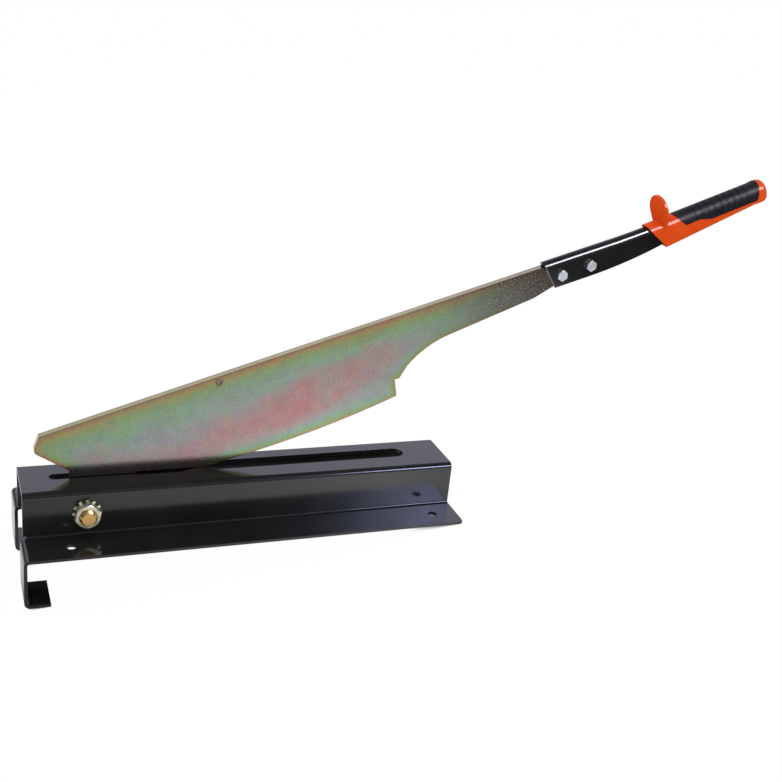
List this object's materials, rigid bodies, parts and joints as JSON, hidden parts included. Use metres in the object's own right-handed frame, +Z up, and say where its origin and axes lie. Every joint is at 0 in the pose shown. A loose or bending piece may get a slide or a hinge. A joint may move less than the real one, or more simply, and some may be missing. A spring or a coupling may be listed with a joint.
{
  "type": "slate cutter",
  "caption": "Bench slate cutter: a curved lever blade with a moulded grip swings down through the slot of a folded steel base with fixing flanges and board hooks.",
  "frame": {"origin": "centre of the four flange fixing holes, on the underside of the flanges", "axes": "+X along the base from its pivot end to its open end, +Y to the rear (the bolt-head side), +Z up; the blade is part open"},
  "size_m": [0.7237, 0.1376, 0.3656],
  "materials": {
    "black_paint": "gloss black stove enamel on folded sheet steel",
    "yellow_zinc": "yellow chromate over zinc, iridescent",
    "bright_zinc": "bright zinc plate",
    "orange_plastic": "injection moulded, semi-gloss",
    "black_rubber": "satin soft-touch moulding"
  },
  "bodies": {
    "base": {"base_channel": "black_paint", "pivot_bolt": "yellow_zinc", "pivot_head_washer": "yellow_zinc", "pivot_nut": "bright_zinc", "pivot_tooth_washer": "bright_zinc", "pivot_spacer_front": "bright_zinc", "pivot_spacer_rear": "bright_zinc", "thrust_washer_front": "bright_zinc", "thrust_washer_rear": "bright_zinc"},
    "blade": {"handle_channel": "black_paint", "blade": "yellow_zinc", "handle_bolt_inner": "bright_zinc", "handle_bolt_outer": "bright_zinc", "handle_nut_inner": "bright_zinc", "handle_nut_outer": "bright_zinc", "handle_washer_inner": "bright_zinc", "handle_washer_outer": "bright_zinc", "grip_body": "orange_plastic", "grip_pad": "black_rubber"}
  },
  "joints": [
    {"name": "blade_pivot", "type": "hinge", "parent": "base", "child": "blade", "pos_m": [-0.153, 0.0015, 0.0235], "axis": [0, -1, 0], "range_deg": [-15.3, 24.2]}
  ]
}
